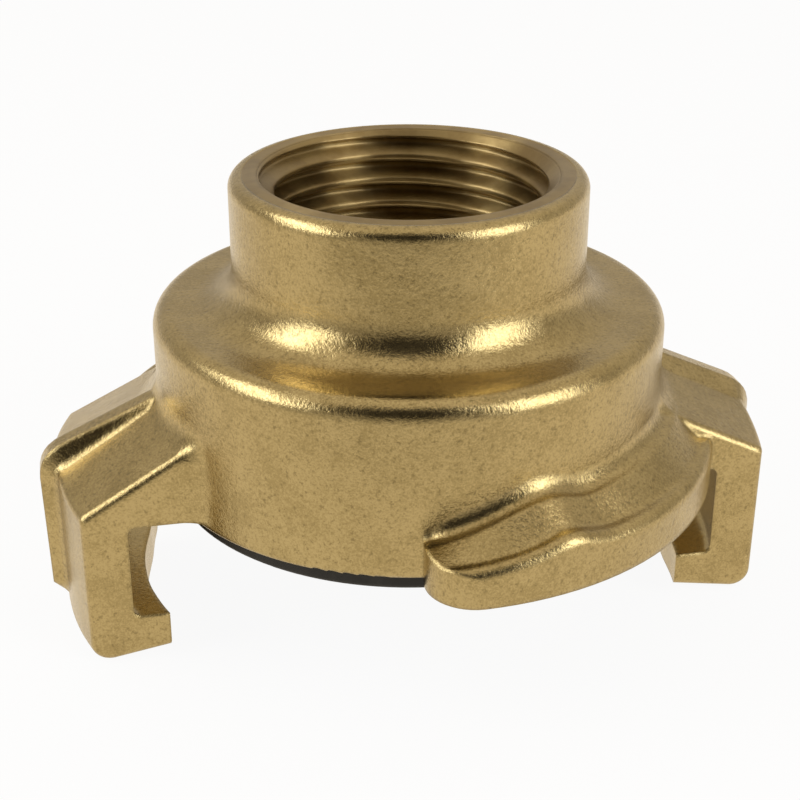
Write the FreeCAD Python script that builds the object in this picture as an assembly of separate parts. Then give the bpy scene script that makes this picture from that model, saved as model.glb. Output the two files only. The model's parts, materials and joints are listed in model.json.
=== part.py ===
# Threaded claw coupling: a one-piece forged brass body and its rubber seal ring.
# Millimetres. Z is up along the thread axis, z = 0 is the lowest point of the claws,
# and the two claws point along +X and -X.
import FreeCAD
import Part
import math
import os

V = FreeCAD.Vector
UP = V(0, 0, 1)
ORIGIN = V(0, 0, 0)

# How far cutting tools run past what they cut, and the most that one has to clear away
clear = 1.0
far_off = 60.0

# Heights above the claw tips
neck_top_z = 32.0
rim_z = 10.33
arm_under_z = 10.75
hook_top_z = 3.64
hook_bottom_z = 1.0

# Neck and shoulder
neck_r = 12.5
neck_edge_round = 0.85
neck_foot_fillet = 2.8
ledge_top_z = 22.77
body_r = 18.2
body_edge_round = 1.28
rim_edge_round = 0.25

# Pipe thread, 1/2 inch parallel: the wall is cut at the thread's major radius, its fine turns are in the scene
thread_major_r = 10.48
thread_depth = 13.5
core_r = 9.0
core_chamfer = 0.6

# Seal seat, measured from the rim inward
lip_r = 17.4
lip_depth = 1.0
channel_r = 14.2
channel_depth = 5.0
groove_r = 15.3
groove_low = 2.8
groove_high = 4.4

# Seal ring
seal_bore_r = 10.2
lip_proud = 1.33
lip_edge_round = 0.4
lip_dish = 0.35
lip_dish_in_r = 12.2
lip_dish_out_r = 15.6

# Claws
claw_half_width = 8.35
claw_side_draft = 0.15
claw_outer_r = 25.8
claw_outer_shift = 0.6
claw_bottom_drop = 1.2
claw_bottom_tilt = 0.01
claw_edge_round = 0.5
claw_heel_round = 1.35
blank_above = 15.0
blank_below = 5.0
throat_r = 22.8
throat_corner_round = 0.6
hook_tip_u = 18.6
hook_end_points = [
    (16.9, 11.0),
    (18.75, 8.3),
    (19.45, 6.2),
    (19.85, 4.5),
    (20.05, 2.3),
    (20.0, 0.0),
    (19.65, -2.3),
    (19.3, -4.2),
    (19.05, -6.2),
    (18.65, -8.3),
    (17.9, -11.0),
]
shoulder_ref_u = 21.1
shoulder_ref_z = 13.6
shoulder_slope_a = -0.61
shoulder_slope_b = -0.49
shoulder_rise = 0.21
claw_foot_fillet = 2.6
wall_margin = 0.7

# Rib over the claw
rib_outer_r = 26.9
rib_draft = 0.15
rib_half_top = 0.7
rib_shift = 0.5
rib_foot_a = 2.1
rib_foot_b = 3.4
rib_hollow = 0.6
rib_ref_z = 15.9
rib_slope = -0.46
rib_corner_round = 1.7
rib_end_z = 2.9
rib_end_chamfer = 1.2
rib_sink = 0.1
rib_inset = 0.15
rib_wall = 0.8

# Lugs: one row per section, azimuth from the claw axis, then heights and radii
lug_r = 22.27
lug_edge_round = 0.75
lug_valley_round = 0.4
lug_crest_round = 0.25
lug_cove = 1.0
lug_cove_gap = 0.3
lug_cove_height = 2.6
lug_cove_start = 0.35
lug_cove_run = 7.0
lug_end_corner_round = 3.2
lug_crest_r = 19.4
lug_root_depth = 0.4
lug_steps = 24
lug_rows = [
    (-99.1, 13.25, 12.75, 21.2),
    (-95.0, 13.65, 12.94, 21.2),
    (-89.0, 14.25, 13.17, 21.2),
    (-82.0, 15.10, 13.60, 21.2),
    (-78.0, 15.50, 13.95, 21.1),
    (-74.0, 15.70, 14.30, 21.0),
    (-70.0, 15.44, 14.05, 20.9),
    (-66.0, 15.05, 13.65, 20.9),
    (-60.0, 15.05, 13.50, 20.9),
    (-52.0, 15.20, 13.48, 21.0),
    (-42.0, 15.36, 13.48, 21.2),
    (-30.0, 15.44, 13.48, 21.2),
    (-16.0, 15.44, 13.48, 21.2),
]


def rounded_wire(corners):
    """Closed wire in the XZ plane through (x, z, round) corners."""
    count = len(corners)
    starts = []
    ends = []
    mids = []
    for i in range(count):
        x, z, radius = corners[i]
        here = V(x, 0, z)
        if radius <= 0:
            starts.append(here)
            ends.append(here)
            mids.append(None)
            continue
        before = V(corners[i - 1][0], 0, corners[i - 1][1])
        after = V(corners[(i + 1) % count][0], 0, corners[(i + 1) % count][1])
        a = (before - here).normalize()
        b = (after - here).normalize()
        half = a.getAngle(b) / 2
        reach = radius / math.tan(half)
        bisector = (a + b).normalize()
        centre = here + bisector * (radius / math.sin(half))
        starts.append(here + a * reach)
        ends.append(here + b * reach)
        mids.append(centre - bisector * radius)
    edges = []
    for i in range(count):
        if mids[i] is not None:
            edges.append(Part.Arc(starts[i], mids[i], ends[i]).toShape())
        following = starts[(i + 1) % count]
        if (following - ends[i]).Length > 1e-6:
            edges.append(Part.LineSegment(ends[i], following).toShape())
    return Part.Wire(edges)


def revolved(corners):
    return Part.Face(rounded_wire(corners)).revolve(ORIGIN, UP, 360)


def prism(points, low, high):
    """Prism of XZ points between two Y values."""
    loop = [V(x, low, z) for x, z in points]
    face = Part.Face(Part.makePolygon(loop + [loop[0]]))
    return face.extrude(V(0, high - low, 0))


def turned(shape, angle):
    copy = shape.copy()
    copy.rotate(ORIGIN, UP, angle)
    return copy


# Body of revolution
body = revolved([
    (0, rim_z, 0),
    (body_r, rim_z, rim_edge_round),
    (body_r, ledge_top_z, body_edge_round),
    (neck_r, ledge_top_z, neck_foot_fillet),
    (neck_r, neck_top_z, neck_edge_round),
    (0, neck_top_z, 0),
])


# Claw block, made in two halves: side 1 is the plain side, side -1 the one the lug joins
claw_root_u = 12.0
reach = claw_outer_r + 4
wide = claw_half_width + 1
wall_low_z = 7.0
wall_top_z = 21.0


def shoulder_z(u, off, side):
    """Height of the sloping shoulder at distance off from the claw's middle plane."""
    slope = shoulder_slope_a if side == 1 else shoulder_slope_b
    return shoulder_ref_z + slope * (u - shoulder_ref_u) + shoulder_rise * (claw_half_width - off)


def rib_z(u):
    return rib_ref_z + rib_slope * (u - shoulder_ref_u)


def slab_from(height, lift):
    """Space between the plane z = height(u, off) and the same plane moved by lift."""
    corners = [(claw_root_u - 1, -1), (reach, -1), (reach, wide), (claw_root_u - 1, wide)]
    loop = [V(u, off, height(u, off)) for u, off in corners]
    return Part.Face(Part.makePolygon(loop + [loop[0]])).extrude(V(0, 0, lift))


def outside_edges(shape):
    """Edges of a half block that are seen from outside the claw."""
    picked = []
    for edge in shape.Edges:
        box = edge.BoundBox
        if box.YMax < 0.01 or box.XMax < claw_root_u + 0.01:
            continue
        if box.XLength < 0.01 and box.ZLength < 0.01:
            continue
        picked.append(edge)
    return picked


def heel_edges(shape):
    """The edge between the claw's outer face and its bottom."""
    return [e for e in shape.Edges if e.BoundBox.ZMax < 0.6 and e.BoundBox.YLength > claw_half_width / 2]


def foot_edges(shape):
    """Edges where a half block meets the round wall of the body."""
    picked = []
    for edge in shape.Edges:
        span = edge.LastParameter - edge.FirstParameter
        spots = [edge.valueAt(edge.FirstParameter + span * k / 8) for k in range(9)]
        if any(abs(math.hypot(p.x, p.y) - body_r) > 0.01 or p.y < -0.001 for p in spots):
            continue
        if all(p.y < 0.001 for p in spots) or all(abs(p.z - wall_low_z) < 0.01 for p in spots):
            continue
        if any(p.z > wall_top_z - 0.01 for p in spots):
            continue
        picked.append(edge)
    return picked


def half_block(side):
    lean = claw_side_draft / shoulder_ref_z
    low_v = claw_half_width - claw_side_draft - blank_below * lean
    high_v = claw_half_width + blank_above * lean
    low_z = -blank_below
    high_z = shoulder_ref_z + blank_above
    loop = [(0, low_z), (low_v, low_z), (high_v, high_z), (0, high_z), (0, low_z)]
    outline = Part.makePolygon([V(claw_root_u, v, z) for v, z in loop])
    half = Part.Face(outline).extrude(V(reach - claw_root_u, 0, 0))
    outer_axis = V(0, -side * claw_outer_shift, low_z)
    half = half.common(Part.makeCylinder(claw_outer_r, high_z - low_z, outer_axis))
    half = half.cut(slab_from(lambda u, off: shoulder_z(u, off, side), far_off))
    fall = claw_bottom_drop / (claw_outer_r - hook_tip_u)
    lift = claw_bottom_tilt * side
    flat = slab_from(lambda u, off: hook_bottom_z - lift * off, -far_off)
    slope = slab_from(lambda u, off: hook_bottom_z - lift * off - fall * (u - hook_tip_u), -far_off)
    half = half.cut(flat.common(slope))
    half = half.makeFillet(claw_heel_round, heel_edges(half))
    half = half.makeFillet(claw_edge_round, outside_edges(half))
    wall_width = claw_half_width + claw_foot_fillet + wall_margin
    slab = Part.makeBox(body_r, wall_width, wall_top_z, V(claw_root_u, 0, wall_low_z))
    slab = slab.common(Part.makeCylinder(body_r, wall_top_z - wall_low_z, V(0, 0, wall_low_z)))
    half = half.fuse(slab).removeSplitter()
    half = half.makeFillet(claw_foot_fillet, foot_edges(half))
    return half if side == 1 else half.mirror(ORIGIN, V(0, 1, 0))


block = half_block(1).fuse(half_block(-1))

# Throat and hook
throat_height = arm_under_z - hook_top_z
throat = Part.makeCylinder(throat_r, throat_height, V(0, 0, hook_top_z))
throat = throat.makeFillet(throat_corner_round, [e for e in throat.Edges if len(e.Vertexes) == 1])
throat_core_r = throat_r - 2 * throat_corner_round
throat = throat.fuse(Part.makeCylinder(throat_core_r, throat_height, V(0, 0, hook_top_z)))
block = block.cut(throat)
gap_low_z = -blank_below
curve = Part.BSplineCurve()
curve.interpolate([V(u, v, gap_low_z) for u, v in hook_end_points])
first = V(hook_end_points[0][0], hook_end_points[0][1], gap_low_z)
last = V(hook_end_points[-1][0], hook_end_points[-1][1], gap_low_z)
back = claw_root_u - clear
hook_gap = Part.Wire([
    curve.toShape(),
    Part.makeLine(last, V(back, last.y, gap_low_z)),
    Part.makeLine(V(back, last.y, gap_low_z), V(back, first.y, gap_low_z)),
    Part.makeLine(V(back, first.y, gap_low_z), first),
])
gap_top_z = (hook_top_z + arm_under_z) / 2
block = block.cut(Part.Face(hook_gap).extrude(V(0, 0, gap_top_z - gap_low_z)))


# Rib
def rib_outline(lift, side, foot):
    """Side view of the rib, lift 1 at its crest and 0 on the claw's skin."""
    out = claw_outer_r - rib_inset + lift * (rib_outer_r - claw_outer_r + rib_inset)
    low_out = out - rib_draft * lift
    corner = rib_corner_round * (0.4 + 0.6 * lift)
    points = [(claw_root_u, rim_z + 1)]

    def top(u):
        skin = shoulder_z(u, foot, side) - rib_sink
        return skin + lift * (rib_z(u) - skin)

    points.append((claw_root_u, top(claw_root_u)))
    points.append((out - corner, top(out - corner)))
    slope = (top(out) - top(out - 1))
    start = V(out - corner, 0, top(out - corner))
    along = V(1, 0, slope).normalize()
    tip = V(out, 0, top(out))
    down = V(0, 0, -1)
    end = tip + down * corner
    for step in (0.15, 0.35, 0.5, 0.65, 0.85):
        p = start * ((1 - step) ** 2) + tip * (2 * step * (1 - step)) + end * (step ** 2)
        points.append((p.x, p.z))
    points.append((end.x, end.z))
    points.append((low_out, rib_end_z))
    points.append((low_out - rib_end_chamfer * lift - rib_sink, rib_end_z - rib_end_chamfer))
    points.append((throat_r + rib_wall, rib_end_z - rib_end_chamfer))
    points.append((throat_r + rib_wall, rim_z + 1))
    return points


def rib_wire(lift, side, foot):
    crest_v = rib_shift + side * rib_half_top
    v = side * foot + (crest_v - side * foot) * lift ** rib_hollow
    loop = [V(x, v, z) for x, z in rib_outline(lift, side, foot)]
    return Part.makePolygon(loop + [loop[0]])


rib = Part.makeLoft([rib_wire(1, -1, rib_foot_b), rib_wire(1, 1, rib_foot_a)], True, True)
for side, foot in ((1, rib_foot_a), (-1, rib_foot_b)):
    for low, high in ((0, 0.3), (0.3, 1)):
        rib = rib.fuse(Part.makeLoft([rib_wire(low, side, foot), rib_wire(high, side, foot)], True, True))
claw = block.fuse(rib)


# Lug
lug_start = lug_rows[0][0]


def lug_section(row):
    azimuth, crest_z, ledge_z, valley_r = row
    cove = min(1.0, lug_cove_start + (1 - lug_cove_start) * (azimuth - lug_start) / lug_cove_run)
    wall_r = body_r - lug_root_depth
    wire = rounded_wire([
        (wall_r, rim_z, 0),
        (lug_r, rim_z, 0),
        (lug_r, ledge_z, lug_edge_round),
        (valley_r, ledge_z, lug_valley_round),
        (lug_crest_r, crest_z, lug_crest_round),
        (body_r + lug_cove_gap, crest_z, lug_cove * cove),
        (wall_r, crest_z + lug_cove_height * cove, 0),
    ])
    wire.rotate(ORIGIN, UP, azimuth)
    return wire


def lug_row(azimuth):
    """Row of the lug at any azimuth, smoothly between the rows above."""
    last = len(lug_rows) - 1
    k = 0
    while k < last - 1 and lug_rows[k + 1][0] < azimuth:
        k += 1
    span = lug_rows[k + 1][0] - lug_rows[k][0]
    t = (azimuth - lug_rows[k][0]) / span
    row = [azimuth]
    for column in (1, 2, 3):
        slopes = []
        for j in (k, k + 1):
            low = max(j - 1, 0)
            high = min(j + 1, last)
            rise = lug_rows[high][column] - lug_rows[low][column]
            slopes.append(rise / (lug_rows[high][0] - lug_rows[low][0]) * span)
        start = lug_rows[k][column]
        end = lug_rows[k + 1][column]
        value = start * (1 + 2 * t) * (1 - t) ** 2 + end * t * t * (3 - 2 * t)
        value += slopes[0] * t * (1 - t) ** 2 + slopes[1] * t * t * (t - 1)
        row.append(value)
    return row


lug_span = lug_rows[-1][0] - lug_start
lug_rows_even = [lug_row(lug_start + lug_span * i / lug_steps) for i in range(lug_steps + 1)]
lug = Part.makeLoft([lug_section(row) for row in lug_rows_even], True, False)
end_azimuth = math.radians(lug_start)
inward = V(-math.sin(end_azimuth), math.cos(end_azimuth), 0)
outward = V(math.cos(end_azimuth), math.sin(end_azimuth), 0)
corner_r = lug_r - lug_end_corner_round
along = math.sqrt(corner_r ** 2 - lug_end_corner_round ** 2)
pivot = outward * along + inward * lug_end_corner_round
far = lug_r + 2 * clear
corner_loop = [pivot, outward * along - inward, outward * far - inward, pivot * (far / pivot.Length), pivot]
cutter = Part.Face(Part.makePolygon(corner_loop)).extrude(V(0, 0, neck_top_z))
corner_post = Part.makeCylinder(lug_end_corner_round, neck_top_z + 2 * clear, V(pivot.x, pivot.y, -clear))
cutter = cutter.cut(corner_post)
lug = lug.cut(cutter)

# Join, then hollow out
for angle in (0, 180):
    body = body.fuse(turned(claw, angle))
    body = body.fuse(turned(lug, angle))
body = body.removeSplitter()

thread_floor_z = neck_top_z - thread_depth
bore = revolved([
    (0, neck_top_z + clear, 0),
    (thread_major_r, neck_top_z + clear, 0),
    (thread_major_r, thread_floor_z, 0),
    (core_r, thread_floor_z - core_chamfer, 0),
    (core_r, rim_z - clear, 0),
    (0, rim_z - clear, 0),
])
seat = revolved([
    (0, rim_z - clear, 0),
    (lip_r, rim_z - clear, 0),
    (lip_r, rim_z + lip_depth, 0),
    (channel_r, rim_z + lip_depth, 0),
    (channel_r, rim_z + groove_low, 0),
    (groove_r, rim_z + groove_low, 0),
    (groove_r, rim_z + groove_high, 0),
    (channel_r, rim_z + groove_high, 0),
    (channel_r, rim_z + channel_depth, 0),
    (0, rim_z + channel_depth, 0),
])
body = body.cut(bore).cut(seat)

# Seal ring
seal = revolved([
    (seal_bore_r, rim_z - lip_proud, lip_edge_round),
    (lip_dish_in_r, rim_z - lip_proud, 0),
    ((lip_dish_in_r + lip_dish_out_r) / 2, rim_z - lip_proud + lip_dish, 0),
    (lip_dish_out_r, rim_z - lip_proud, 0),
    (lip_r, rim_z - lip_proud, lip_edge_round),
    (lip_r, rim_z + lip_depth, 0),
    (channel_r, rim_z + lip_depth, 0),
    (channel_r, rim_z + groove_low, 0),
    (groove_r, rim_z + groove_low, 0),
    (groove_r, rim_z + groove_high, 0),
    (channel_r, rim_z + groove_high, 0),
    (channel_r, rim_z + channel_depth, 0),
    (seal_bore_r, rim_z + channel_depth, 0),
])

os.makedirs("parts", exist_ok=True)
body.exportStep("parts/coupling_body.step")
seal.exportStep("parts/seal_ring.step")
for name, shape in (("coupling_body", body), ("seal_ring", seal)):
    print(name, shape.isValid(), len(shape.Solids), round(shape.Volume, 1), shape.BoundBox)
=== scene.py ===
# %% [markdown]
# A threaded claw coupling, the quick-connect end of a water hose line.
# The real one is a hot-forged brass body, blasted to a satin skin and then turned where it has to seal
# or screw, with a black rubber ring pressed into its underside.
# The packed model gives every solid in place. This lesson adds what the eye reads as brass and rubber:
# the skin of the forging, the turned surfaces, the screw thread, the light and the camera.

import bpy
import bmesh
import json
import math
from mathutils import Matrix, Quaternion, Vector


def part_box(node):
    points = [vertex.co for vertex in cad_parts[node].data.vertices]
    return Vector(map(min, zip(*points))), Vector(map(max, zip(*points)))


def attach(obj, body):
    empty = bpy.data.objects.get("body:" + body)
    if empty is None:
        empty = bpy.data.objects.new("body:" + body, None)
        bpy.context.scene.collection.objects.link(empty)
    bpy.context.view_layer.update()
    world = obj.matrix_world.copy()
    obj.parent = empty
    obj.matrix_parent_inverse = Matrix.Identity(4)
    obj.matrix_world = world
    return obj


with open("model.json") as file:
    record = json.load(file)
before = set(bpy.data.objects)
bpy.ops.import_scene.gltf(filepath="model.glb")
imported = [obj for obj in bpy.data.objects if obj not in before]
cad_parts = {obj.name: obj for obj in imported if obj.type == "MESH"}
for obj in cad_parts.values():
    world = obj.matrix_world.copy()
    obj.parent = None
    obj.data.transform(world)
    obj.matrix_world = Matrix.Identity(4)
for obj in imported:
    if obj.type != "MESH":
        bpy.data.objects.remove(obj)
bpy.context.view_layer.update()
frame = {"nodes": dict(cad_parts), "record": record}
body = frame["nodes"]["coupling_body"]
seal = frame["nodes"]["seal_ring"]
scene = bpy.context.scene

# %% [markdown]
# Blender counts in metres here, and the part is a few centimetres across, so one small name keeps
# the sizes readable: 3 * MM is three millimetres.

# %% One unit and the sizes that the packed model gives
MM = 0.001
thread_mount = [m for m in frame["record"]["mounts"] if m["name"] == "thread"][0]
BORE_R = thread_mount["dims"]["r_mm"] * MM
BORE_LENGTH = thread_mount["dims"]["length_mm"] * MM
TOP_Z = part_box("coupling_body")[1].z
BORE_FLOOR_Z = TOP_Z - BORE_LENGTH
print("bore radius", round(BORE_R / MM, 2), "mm, neck top at", round(TOP_Z / MM, 2), "mm")

# %% [markdown]
# The camera stands where the photographer stood. The outline of the neck, the body and both claws was
# fitted with a plain pinhole camera, which gave the distance, the height, the tilt and how far the
# claws are turned away from the picture plane. Writing those few numbers is clearer than a matrix.

# %% Camera
CAMERA_DISTANCE = 103.96 * MM
CAMERA_ABOVE_NECK = 32.05 * MM
CAMERA_TURN = math.radians(12.2)
CAMERA_TILT = math.radians(25.51)
CAMERA_YAW = math.radians(-0.335)
LENS_MM = 70.2
SENSOR_MM = 36.0
NEAREST_SEEN = 1 * MM


def around(azimuth, radius, height):
    """Point at an azimuth from the direction that faces the camera, positive to the camera's right."""
    angle = azimuth - CAMERA_TURN
    return Vector((radius * math.sin(angle), -radius * math.cos(angle), height))


camera_data = bpy.data.cameras.new("photo_camera")
camera = bpy.data.objects.new("photo_camera", camera_data)
scene.collection.objects.link(camera)
camera_data.lens = LENS_MM
camera_data.sensor_width = SENSOR_MM
camera_data.clip_start = NEAREST_SEEN
camera.location = around(0, CAMERA_DISTANCE, TOP_Z + CAMERA_ABOVE_NECK)
heading = CAMERA_YAW + CAMERA_TURN
forward = Vector((math.sin(heading) * math.cos(CAMERA_TILT),
                  math.cos(heading) * math.cos(CAMERA_TILT),
                  -math.sin(CAMERA_TILT)))
camera.rotation_euler = forward.to_track_quat("-Z", "Y").to_euler()
scene.camera = camera
print("camera at", [round(v / MM, 1) for v in camera.location], "mm")

# %% [markdown]
# Brass is a mirror with a tint, so what it looks like is mostly what stands around it. The highlights in
# the photo say where the lights were: a tall softbox far to the left that leans to one side, a wider and
# lower one to the right, and nothing but a dark room behind the photographer.
# A softbox is an area light. Its power is worked out from the brightness that its face should have,
# because that is what a mirror shows: white is 1, and a lit softbox is more than three times that.

# %% Softboxes
scene.view_settings.view_transform = "Standard"
SOFTBOX_DISTANCE = 320 * MM
SUBJECT = Vector((0, 0, 15 * MM))


def side_for(degrees):
    """Side of a softbox that covers an angle of the view from the subject."""
    return 2 * SOFTBOX_DISTANCE * math.tan(math.radians(degrees) / 2)


def softbox(name, azimuth, elevation, wide, tall, brightness, lean=0):
    """Area light that faces the subject and covers wide by tall degrees; lean rolls it in its plane."""
    data = bpy.data.lights.new(name, "AREA")
    data.shape = "RECTANGLE"
    data.size = side_for(wide)
    data.size_y = side_for(tall)
    data.energy = brightness * math.pi * data.size * data.size_y
    lamp = bpy.data.objects.new(name, data)
    scene.collection.objects.link(lamp)
    level = SOFTBOX_DISTANCE * math.cos(math.radians(elevation))
    rise = SOFTBOX_DISTANCE * math.sin(math.radians(elevation))
    lamp.location = around(math.radians(azimuth), level, SUBJECT.z + rise)
    aim = (SUBJECT - lamp.location).to_track_quat("-Z", "Y")
    roll = Quaternion((0, 0, 1), math.radians(lean))
    lamp.rotation_euler = (aim @ roll).to_euler()
    print(name, "power", round(data.energy, 3), "W")


softbox("softbox_left", azimuth=-71, elevation=29, wide=21, tall=52, brightness=3.6, lean=46)
softbox("softbox_right", azimuth=57, elevation=20, wide=28, tall=46, brightness=3.2)

# %% [markdown]
# The room, the table and every finish are graphs of small nodes, and the same few moves come back in all
# of them. This helper gives each move a short name, so that the cells below say what a finish is made of
# and not how its sockets are wired. The Mix node is the odd one: it keeps its sockets for numbers at
# places 2 and 3 and those for colours at 6 and 7, and a mixed colour comes out at place 2.

# %% Helpers for node graphs
WHITE = (1, 1, 1, 1)
MIX_NUMBERS = (2, 3)
MIX_COLOURS = (6, 7)
MIXED_COLOUR = 2


class Graph:
    """The node graph of a material or of the world, with a short name for each common move."""

    def __init__(self, owner):
        owner.use_nodes = True
        self.owner = owner
        self.tree = owner.node_tree
        self.tree.nodes.clear()

    def put(self, socket, value):
        """Links another node's output to a socket, or writes a plain value on the socket itself."""
        if isinstance(value, bpy.types.NodeSocket):
            self.tree.links.new(value, socket)
        else:
            socket.default_value = value

    def add(self, kind, settings=None, **values):
        """Adds a node; each value goes to the socket that bears its name."""
        node = self.tree.nodes.new(kind)
        for key, setting in (settings or {}).items():
            setattr(node, key, setting)
        for key, value in values.items():
            self.put(node.inputs[key.replace("_", " ")], value)
        return node

    def fill(self, kind, settings, values):
        """Adds a node whose sockets take the values in their own order."""
        node = self.add(kind, settings)
        for socket, value in zip(node.inputs, values):
            self.put(socket, value)
        return node

    def math(self, operation, *numbers):
        """Joins numbers by one operation of the Math node."""
        return self.fill("ShaderNodeMath", {"operation": operation}, numbers).outputs[0]

    def weigh(self, start, *parts):
        """A start number plus the value of each part times its weight."""
        total = start
        for value, weight in parts:
            total = self.math("MULTIPLY_ADD", value, weight, total)
        return total

    def dot(self, a, b):
        """How far two directions agree, or how far a point lies along a direction of length 1."""
        return self.fill("ShaderNodeVectorMath", {"operation": "DOT_PRODUCT"}, (a, b)).outputs["Value"]

    def noise(self, where, size, detail=3.0, roughness=0.5):
        """Noise whose blobs are about as large as size, from 0 to 1."""
        node = self.add("ShaderNodeTexNoise", Vector=where, Scale=1.0 / size, Detail=detail,
                        Roughness=roughness, Distortion=0.0)
        return node.outputs["Fac"]

    def spread(self, value, low, high, out_low=0.0, out_high=1.0, kind="SMOOTHSTEP"):
        """Value moved from the range low..high to out_low..out_high, without overshoot."""
        values = (value, low, high, out_low, out_high)
        return self.fill("ShaderNodeMapRange", {"interpolation_type": kind}, values).outputs[0]

    def mix(self, share, a, b):
        """Number a where share is 0, number b where it is 1."""
        node = self.add("ShaderNodeMix", Factor=share)
        self.put(node.inputs[MIX_NUMBERS[0]], a)
        self.put(node.inputs[MIX_NUMBERS[1]], b)
        return node.outputs[0]

    def blend(self, share, a, b):
        """Colour a where share is 0, colour b where it is 1."""
        node = self.add("ShaderNodeMix", {"data_type": "RGBA"}, Factor=share)
        self.put(node.inputs[MIX_COLOURS[0]], a)
        self.put(node.inputs[MIX_COLOURS[1]], b)
        return node.outputs[MIXED_COLOUR]

    def layer(self, share, a, b):
        """Shader a where share is 0, shader b where it is 1."""
        return self.fill("ShaderNodeMixShader", {}, (share, a, b)).outputs[0]


print("graph helpers:", [name for name in vars(Graph) if not name.startswith("_")])

# %% [markdown]
# The world stands for the rest of the room. Its grey depends on the height above the horizon, from walls
# of middle grey up to a pale ceiling, and all of it is a little warm. Towards the photographer lies one
# dark patch, which the part mirrors on the faces that look back at the camera. A picture of a real studio
# could be wrapped around the part instead, but a few bands of grey are enough to read the shape by.
# Camera rays skip all this and see white paper.

# %% Room
ROOM_BANDS = ((0.00, 0.50), (0.45, 0.56), (0.68, 0.72), (0.84, 0.80), (1.00, 0.80))
ROOM_TINT = (1.0, 0.88, 0.71)
DARK_SIDE_SHARE = 0.93
DARK_SIDE_HEIGHT = math.radians(30)
DARK_SIDE_CORE = math.radians(22)
DARK_SIDE_RIM = math.radians(40)


def make_room():
    world = bpy.data.worlds.new("studio_room")
    scene.world = world
    g = Graph(world)
    way = g.add("ShaderNodeTexCoord").outputs["Generated"]
    height = g.add("ShaderNodeSeparateXYZ", Vector=way).outputs["Z"]
    ramp = g.add("ShaderNodeValToRGB", Fac=height)
    bands = ramp.color_ramp.elements
    bands[0].position = ROOM_BANDS[0][0]
    bands[1].position = ROOM_BANDS[-1][0]
    for position, _ in ROOM_BANDS[1:-1]:
        bands.new(position)
    for band, (_, grey) in zip(bands, ROOM_BANDS):
        band.color = (grey * ROOM_TINT[0], grey * ROOM_TINT[1], grey * ROOM_TINT[2], 1)
    dark_way = around(0, math.cos(DARK_SIDE_HEIGHT), math.sin(DARK_SIDE_HEIGHT))
    strength = g.spread(g.dot(way, dark_way), math.cos(DARK_SIDE_RIM), math.cos(DARK_SIDE_CORE),
                        1.0, 1.0 - DARK_SIDE_SHARE)
    walls = g.add("ShaderNodeBackground", Color=ramp.outputs["Color"], Strength=strength)
    paper = g.add("ShaderNodeBackground", Color=WHITE)
    seen = g.add("ShaderNodeLightPath").outputs["Is Camera Ray"]
    g.add("ShaderNodeOutputWorld", Surface=g.layer(seen, walls.outputs[0], paper.outputs[0]))
    print("room bands:", len(bands))


make_room()

# %% [markdown]
# The table is one big sheet. Plain paint alone would go grey away from the lamps. So most of what the
# camera gets from the sheet is a steady white, which gives the photo's clean ground, and the rest is
# ordinary paint, which keeps the coupling's soft shadow.
# What the brass mirrors of the sheet is another matter. It is warm like the room, and it fades towards
# the photographer. That fade gives the upright faces their slow change from bright at the foot to darker
# at the top.

# %% Table
TABLE_HALF = 3000 * MM
TABLE_WHITE = 0.90
STEADY_WHITE = 0.93
GLOSS_SHARE = 0.85
GLOSS_NEAR = 0.95
GLOSS_FAR = 0.35
GLOSS_FADE_START = 38 * MM
GLOSS_FADE_END = 125 * MM


def make_sheet():
    g = Graph(bpy.data.materials.new("white_table"))
    rays = g.add("ShaderNodeLightPath").outputs
    paint = g.add("ShaderNodeBsdfDiffuse", Color=(TABLE_WHITE, TABLE_WHITE, TABLE_WHITE, 1))
    glow = g.add("ShaderNodeEmission", Color=WHITE, Strength=1.0)
    steady = g.math("MULTIPLY", rays["Is Camera Ray"], STEADY_WHITE)
    seen = g.layer(steady, paint.outputs[0], glow.outputs[0])
    place = g.add("ShaderNodeTexCoord").outputs["Object"]
    towards_camera = g.dot(place, around(0, 1, 0))
    strength = g.spread(towards_camera, GLOSS_FADE_START, GLOSS_FADE_END, GLOSS_NEAR, GLOSS_FAR,
                        kind="LINEAR")
    warm = g.add("ShaderNodeEmission", Color=(*ROOM_TINT, 1), Strength=strength)
    mirrored = g.math("MULTIPLY", rays["Is Glossy Ray"], GLOSS_SHARE)
    g.add("ShaderNodeOutputMaterial", Surface=g.layer(mirrored, seen, warm.outputs[0]))
    return g.owner


def make_table():
    mesh = bpy.data.meshes.new("table")
    corners = [(-TABLE_HALF, -TABLE_HALF, 0), (TABLE_HALF, -TABLE_HALF, 0),
               (TABLE_HALF, TABLE_HALF, 0), (-TABLE_HALF, TABLE_HALF, 0)]
    mesh.from_pydata(corners, [], [(0, 1, 2, 3)])
    mesh.materials.append(make_sheet())
    table = bpy.data.objects.new("table", mesh)
    scene.collection.objects.link(table)
    print("table side:", round(2 * TABLE_HALF / MM), "mm")


make_table()
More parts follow.
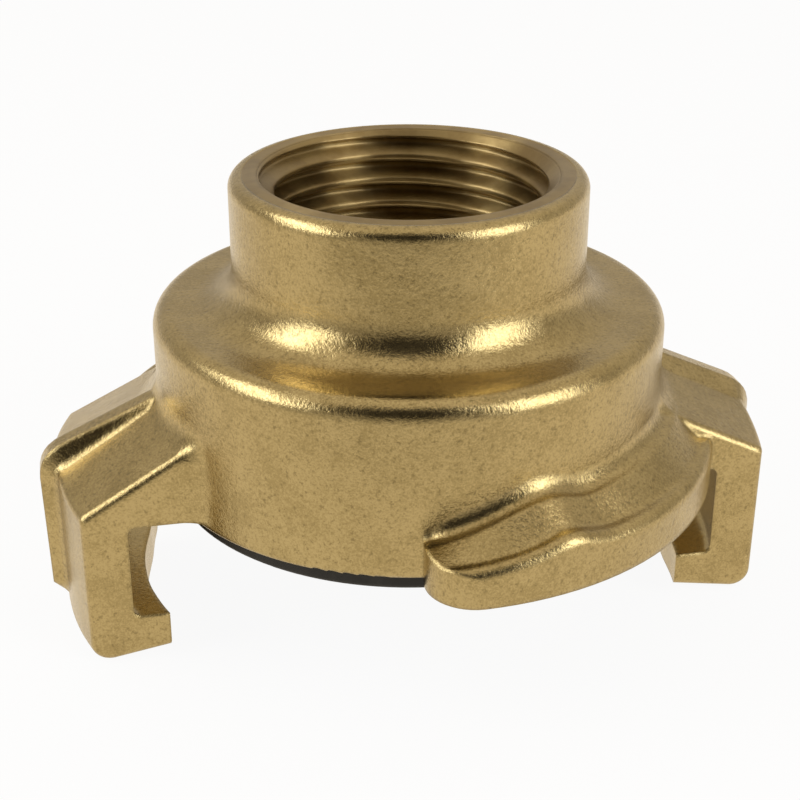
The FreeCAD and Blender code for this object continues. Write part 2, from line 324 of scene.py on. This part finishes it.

# %% [markdown]
# The skin of a forging has no polish. Shot has dented it into a fine grain with a few deeper pits, and
# the faces roll a little where the dies met, so the bump has three sizes, from a tenth of a millimetre to
# several. Flecks painted at random could give the same colours, but the same noises drive the colour
# here, so a raised grain is painted lighter and a pit is painted darker: painted light on the tops of the
# grain and painted shade in the dents, under blotches of tone that differ at random.

# %% Forged skin
BRASS_LIGHT = (0.525, 0.415, 0.195, 1)
BRASS_MID = (0.385, 0.296, 0.126, 1)
# The darkest brass is the painted shade at the bottom of a pit.
PAINTED_PIT_SHADE_COLOUR = (0.130, 0.094, 0.036, 1)
GRAIN_SIZE = 0.14 * MM
PIT_SIZE = 0.30 * MM
BLOTCH_SIZE = 2.6 * MM
ROLL_SIZE = 6.0 * MM
GRAIN_HEIGHT = 0.016 * MM
PIT_HEIGHT = 0.028 * MM
ROLL_HEIGHT = 0.12 * MM
GRAIN_IN_FLECK = 0.45
PITS_IN_FLECK = 0.25
BLOTCH_IN_FLECK = 0.30
FLECK_DARK_END = 0.41
FLECK_LIGHT_END = 0.59
PIT_RIM = 0.42
PIT_BOTTOM = 0.30
PIT_SHADE = 0.38
FORGED_ROUGH = 0.05
GRAIN_ROUGH = 0.12
BLOTCH_ROUGH = 0.14
EDGE_POLISH = 0.05


def forged_skin(g, where, edge):
    """Colour, roughness and height of the blasted skin; edge is 1 where an edge is worn smooth."""
    grain = g.noise(where, GRAIN_SIZE, detail=4.0, roughness=0.6)
    pits = g.noise(where, PIT_SIZE, detail=3.0, roughness=0.6)
    rolls = g.noise(where, ROLL_SIZE, detail=2.0)
    blotch = g.noise(where, BLOTCH_SIZE, detail=4.0, roughness=0.6)
    # The colour follows the relief: raised grain is painted lighter (painted light), pits darker (painted
    # shade), with random blotches of tone mixed in.
    tone_and_painted_relief = g.weigh(0.0, (grain, GRAIN_IN_FLECK), (pits, PITS_IN_FLECK), (blotch, BLOTCH_IN_FLECK))
    colour = g.blend(g.spread(tone_and_painted_relief, FLECK_DARK_END, FLECK_LIGHT_END), BRASS_MID, BRASS_LIGHT)
    # Painted shade in the pits: the deeper a pit, the nearer its colour comes to the darkest brass.
    painted_pit_shade_share = g.spread(pits, PIT_RIM, PIT_BOTTOM, 0.0, PIT_SHADE)
    colour = g.blend(painted_pit_shade_share, colour, PAINTED_PIT_SHADE_COLOUR)
    rough = g.weigh(FORGED_ROUGH, (grain, GRAIN_ROUGH), (blotch, BLOTCH_ROUGH), (edge, -EDGE_POLISH))
    height = g.weigh(0.0, (grain, GRAIN_HEIGHT), (pits, PIT_HEIGHT), (rolls, ROLL_HEIGHT))
    return colour, rough, height


print("forged grain", round(GRAIN_SIZE / MM, 2), "mm, pits", round(PIT_SIZE / MM, 2), "mm")

# %% [markdown]
# The lathe has taken that skin off the bore and its floor, and off the inner part of the neck's top face.
# A turned face is darker and plain, with rings as far apart as the tool moved in one turn. They are too
# fine to see one by one, but they pull every highlight out across them. Cut into the mesh they would need
# millions of faces, so a very low bump and the streak of the metal shader below stand for them.

# %% Turned skin
TURNED_LIGHT = (0.390, 0.290, 0.125, 1)
TURNED_DARK = (0.280, 0.198, 0.080, 1)
TURNED_DARK_END = 0.35
TURNED_LIGHT_END = 0.65
TURNED_ROUGH = 0.29
TURNED_BLOTCH_ROUGH = 0.10
FEED = 0.11 * MM
RING_HEIGHT = 0.0008 * MM


def turned_skin(g, where, radius, z):
    """Colour, roughness and height of a face that came off the lathe."""
    blotch = g.noise(where, BLOTCH_SIZE, detail=4.0, roughness=0.6)
    colour = g.blend(g.spread(blotch, TURNED_DARK_END, TURNED_LIGHT_END), TURNED_DARK, TURNED_LIGHT)
    rough = g.weigh(TURNED_ROUGH, (blotch, TURNED_BLOTCH_ROUGH))
    rings = g.math("SINE", g.math("MULTIPLY", g.math("ADD", radius, z), 2 * math.pi / FEED))
    height = g.math("MULTIPLY", rings, RING_HEIGHT)
    return colour, rough, height


print("turning rings every", round(FEED / MM, 2), "mm")

# %% [markdown]
# Both skins end in the same metal shader. The Tangent node runs around the part's axis, and a quarter
# turn from it points across the rings, which is the way a lathe's highlight is drawn out. A thin film of
# oxide lies over the brass. It is the shader's coat, and it gives each highlight a pale core.

# %% Metal
STREAK = 0.95
QUARTER_TURN = 0.25
COAT = 0.4
COAT_ROUGH = 0.25


def finish_brass(g, colour, rough, height, normal, streak):
    """Metal shader; streak is how much the lathe's rings pull a highlight out across them."""
    bump = g.add("ShaderNodeBump", Strength=1.0, Distance=1.0, Height=height, Normal=normal)
    around_axis = g.add("ShaderNodeTangent", {"direction_type": "RADIAL", "axis": "Z"})
    metal = g.add("ShaderNodeBsdfPrincipled", Base_Color=colour, Metallic=1.0, Roughness=rough,
                  Normal=bump.outputs[0], Anisotropic=streak, Anisotropic_Rotation=QUARTER_TURN,
                  Tangent=around_axis.outputs[0], Coat_Weight=COAT, Coat_Roughness=COAT_ROUGH,
                  Coat_Normal=bump.outputs[0])
    g.add("ShaderNodeOutputMaterial", Surface=metal.outputs[0])
    print(g.owner.name, "nodes:", len(g.tree.nodes))
    return g.owner


def place_on_part(g):
    """Position of a point on the part, its distance from the axis and its height."""
    where = g.add("ShaderNodeTexCoord").outputs["Object"]
    x, y, z = g.add("ShaderNodeSeparateXYZ", Vector=where).outputs
    radius = g.math("SQRT", g.math("ADD", g.math("MULTIPLY", x, x), g.math("MULTIPLY", y, y)))
    return where, radius, z


print("coat over the brass:", COAT, "with roughness", COAT_ROUGH)

# %% [markdown]
# The forged body needs to know two more things about each point. The Bevel node gives a normal that is
# rounded near an edge, as the dies round it, and where that normal differs from the flat one the skin is
# rubbed smooth. Turned faces are told apart by where they are, with a soft border about a fifth of a
# millimetre wide. The alternative is a second material on chosen faces, which would change the mesh.

# %% Brass of the body
EDGE_ROUND = 0.45 * MM
EDGE_SAMPLES = 6
EDGE_STARTS = 0.995
EDGE_FULL = 0.93
BORE_MARGIN = 0.05 * MM
BORE_BORDER = 0.20 * MM
TURNED_FACE_R = 11.6 * MM
FACE_BORDER = 0.15 * MM
FACE_DEPTH = 0.03 * MM


def find_edges(g):
    """The normal rounded at edges, and a number that is 1 on an edge and 0 away from it."""
    rounded = g.add("ShaderNodeBevel", {"samples": EDGE_SAMPLES}, Radius=EDGE_ROUND).outputs[0]
    flat = g.add("ShaderNodeNewGeometry").outputs["Normal"]
    return rounded, g.spread(g.dot(rounded, flat), EDGE_STARTS, EDGE_FULL)


def find_turned_faces(g, radius, z):
    """A number that is 1 inside the bore and on the turned part of the neck's top face."""
    bore_edge = BORE_R + BORE_MARGIN
    in_bore = g.spread(radius, bore_edge + BORE_BORDER, bore_edge)
    at_top = g.spread(z, TOP_Z - FACE_DEPTH, TOP_Z - FACE_DEPTH / 2)
    inner = g.spread(radius, TURNED_FACE_R, TURNED_FACE_R - FACE_BORDER)
    return g.math("MAXIMUM", in_bore, g.math("MULTIPLY", at_top, inner))


def make_forged_brass():
    g = Graph(bpy.data.materials.new("forged_brass"))
    where, radius, z = place_on_part(g)
    rounded, edge = find_edges(g)
    turned = find_turned_faces(g, radius, z)
    forged_colour, forged_rough, forged_height = forged_skin(g, where, edge)
    turned_colour, turned_rough, turned_height = turned_skin(g, where, radius, z)
    colour = g.blend(turned, forged_colour, turned_colour)
    rough = g.mix(turned, forged_rough, turned_rough)
    height = g.mix(turned, forged_height, turned_height)
    return finish_brass(g, colour, rough, height, rounded, g.math("MULTIPLY", turned, STREAK))


body.data.materials.clear()
body.data.materials.append(make_forged_brass())

# %% [markdown]
# The thread is turned all over, so its brass is the lathe's skin alone, with the full streak.

# %% Brass of the thread


def make_turned_brass():
    g = Graph(bpy.data.materials.new("turned_brass"))
    where, radius, z = place_on_part(g)
    colour, rough, height = turned_skin(g, where, radius, z)
    flat = g.add("ShaderNodeNewGeometry").outputs["Normal"]
    return finish_brass(g, colour, rough, height, flat, STREAK)


turned_brass = make_turned_brass()

# %% [markdown]
# The screw thread. The packed model has a plain wall at the thread's largest radius, the size that other
# parts are fitted against. Here a sleeve lines that wall. The Screw modifier could wind a profile up the
# wall, but it would leave two open ends. So the sleeve's inner face follows one formula, which gives the
# radius at any angle and height: a flat crest, a straight flank and a flat root, with their corners
# softened, climbing one pitch a turn. A 55 degree thread is 0.64 of its pitch deep, and here its crest
# and its root are each flat over a sixth of the pitch. A cone at the mouth cuts the first turn away, as a
# countersink does. The photo shows where the first root is, and its depth below the mouth sets the helix.

# %% Thread
PITCH = 1.814 * MM
DEPTH_SHARE = 0.6403
THREAD_GAP = 0.03 * MM
SLEEVE_GAP = 0.01 * MM
THREAD_ROOT_R = BORE_R - THREAD_GAP
THREAD_CREST_R = BORE_R - DEPTH_SHARE * PITCH
FIRST_ROOT_DEPTH = 1.305 * MM
THREAD_START_Z = TOP_Z - FIRST_ROOT_DEPTH
FLAT_SHARE = 1 / 6
SOFTNESS = 0.35
MOUTH_DEPTH = 1.05 * MM
SLEEVE_R = BORE_R - SLEEVE_GAP
END_GAP = 0.02 * MM
TURN_STEPS = 240
STEPS_A_PITCH = 20


def thread_radius(angle, z):
    """Inner radius of the right-handed thread at an angle and a height."""
    phase = ((z - THREAD_START_Z) / PITCH - angle / (2 * math.pi)) % 1.0
    climb = abs(2 * phase - 1)
    flank = min(1.0, max(0.0, (climb - FLAT_SHARE) / (1 - 2 * FLAT_SHARE)))
    rounded = flank * flank * (3 - 2 * flank)
    wave = rounded * SOFTNESS + flank * (1 - SOFTNESS)
    screw = THREAD_CREST_R + (THREAD_ROOT_R - THREAD_CREST_R) * wave
    mouth = THREAD_ROOT_R - (THREAD_ROOT_R - THREAD_CREST_R) * (TOP_Z - z) / MOUTH_DEPTH
    return max(screw, mouth)


def ring_of_points(bm, z, radius_at):
    """One ring of vertices at a height, with the radius that radius_at gives for each angle."""
    ring = []
    for step in range(TURN_STEPS):
        angle = 2 * math.pi * step / TURN_STEPS
        r = radius_at(angle)
        ring.append(bm.verts.new((r * math.cos(angle), r * math.sin(angle), z)))
    return ring


def make_thread():
    low = BORE_FLOOR_Z + END_GAP
    high = TOP_Z - END_GAP
    rows = round((high - low) / PITCH * STEPS_A_PITCH)
    bm = bmesh.new()
    rings = []
    for row in range(rows + 1):
        z = low + (high - low) * row / rows
        rings.append(ring_of_points(bm, z, lambda angle: thread_radius(angle, z)))
    rings.append(ring_of_points(bm, high, lambda angle: SLEEVE_R))
    rings.append(ring_of_points(bm, low, lambda angle: SLEEVE_R))
    for lower, upper in zip(rings, rings[1:] + rings[:1]):
        for step in range(TURN_STEPS):
            after = (step + 1) % TURN_STEPS
            bm.faces.new((lower[step], upper[step], upper[after], lower[after]))
    bmesh.ops.recalc_face_normals(bm, faces=bm.faces)
    mesh = bpy.data.meshes.new("pipe_thread")
    bm.to_mesh(mesh)
    bm.free()
    mesh.shade_smooth()
    thread = bpy.data.objects.new("pipe_thread", mesh)
    scene.collection.objects.link(thread)
    thread.data.materials.append(turned_brass)
    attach(thread, "root")
    print("thread faces:", len(mesh.polygons))


make_thread()

# %% [markdown]
# The seal is moulded rubber: black, nearly matte, with the faint cloudiness and fine tooth of a mould.
# A low specular level and a soft bump are enough, because only its edge is seen below the rim.

# %% Rubber
RUBBER_BLACK = (0.012, 0.012, 0.012, 1)
RUBBER_BLOOM = (0.035, 0.034, 0.032, 1)
TOOTH_SIZE = 0.12 * MM
BLOOM_SIZE = 3.0 * MM
TOOTH_HEIGHT = 0.006 * MM
BLOOM_HEIGHT = 0.03 * MM
BLOOM_STARTS = 0.45
BLOOM_FULL = 0.75
RUBBER_ROUGH = 0.42
BLOOM_ROUGH = 0.25
RUBBER_SPECULAR = 0.4


def make_rubber():
    g = Graph(bpy.data.materials.new("seal_rubber_black"))
    where = g.add("ShaderNodeTexCoord").outputs["Object"]
    tooth = g.noise(where, TOOTH_SIZE)
    bloom = g.noise(where, BLOOM_SIZE, detail=5.0, roughness=0.65)
    colour = g.blend(g.spread(bloom, BLOOM_STARTS, BLOOM_FULL), RUBBER_BLACK, RUBBER_BLOOM)
    rough = g.weigh(RUBBER_ROUGH, (bloom, BLOOM_ROUGH))
    height = g.weigh(0.0, (tooth, TOOTH_HEIGHT), (bloom, BLOOM_HEIGHT))
    bump = g.add("ShaderNodeBump", Strength=1.0, Distance=1.0, Height=height)
    rubber = g.add("ShaderNodeBsdfPrincipled", Base_Color=colour, Roughness=rough, Normal=bump.outputs[0],
                   Specular_IOR_Level=RUBBER_SPECULAR)
    g.add("ShaderNodeOutputMaterial", Surface=rubber.outputs[0])
    print(g.owner.name, "nodes:", len(g.tree.nodes))
    return g.owner


seal.data.materials.clear()
seal.data.materials.append(make_rubber())

# %% [markdown]
# The solids' own box and the dressed part's box have to agree, because paint and thread must not make
# the coupling larger than the one that was measured.
